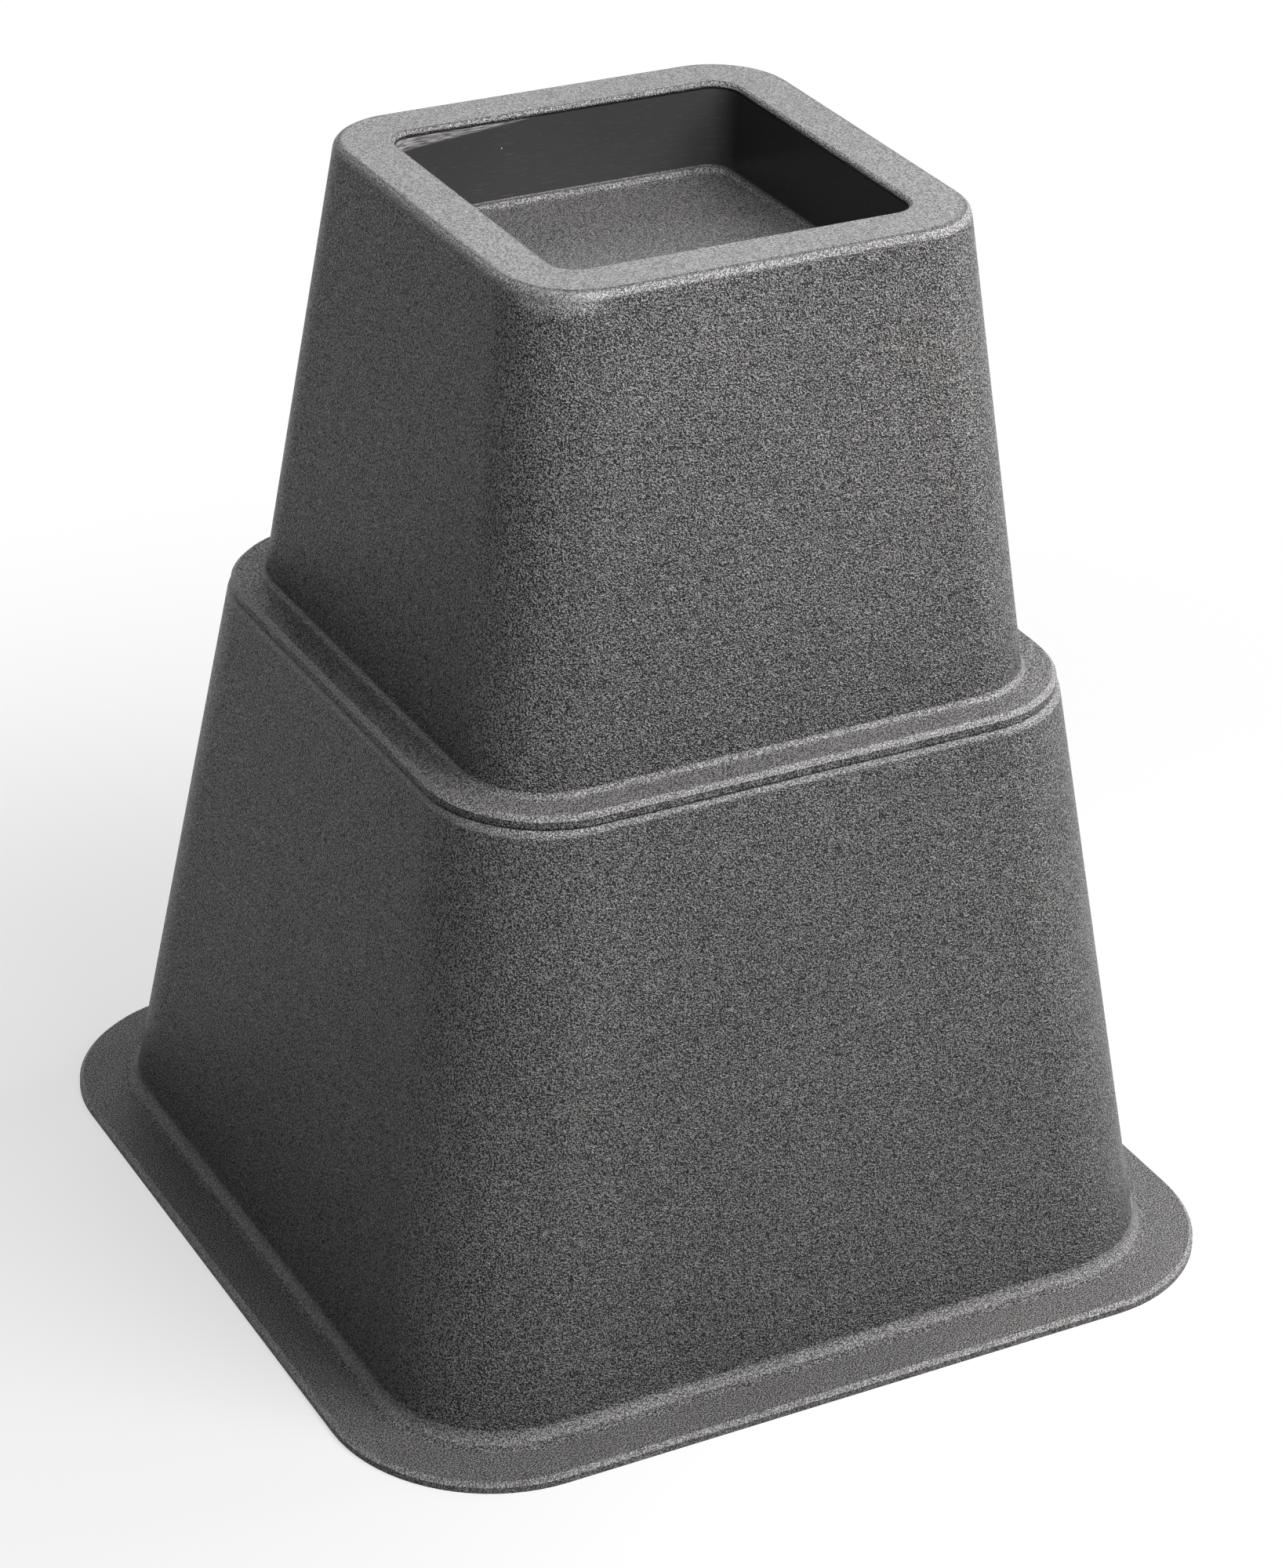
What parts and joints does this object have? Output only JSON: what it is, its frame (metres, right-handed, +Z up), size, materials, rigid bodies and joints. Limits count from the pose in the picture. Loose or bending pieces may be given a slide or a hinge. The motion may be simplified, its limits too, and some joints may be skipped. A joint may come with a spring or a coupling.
{
  "type": "bed riser",
  "caption": "Tall square tapered bed riser of black plastic: a narrow upper block with a shallow leg well, stacked on a wide flanged lower block.",
  "frame": {"origin": "centre of the lower riser's foot, on the floor", "axes": "+Z up, X and Y along the sides of the square foot"},
  "size_m": [0.1764, 0.1764, 0.2032],
  "materials": {
    "black_plastic": "coarse leather grain on the walls and a finer grain on the flanges and the top rim; the well's walls are smooth"
  },
  "bodies": {
    "root": {"upper_riser": "black_plastic", "lower_riser": "black_plastic"}
  },
  "joints": []
}
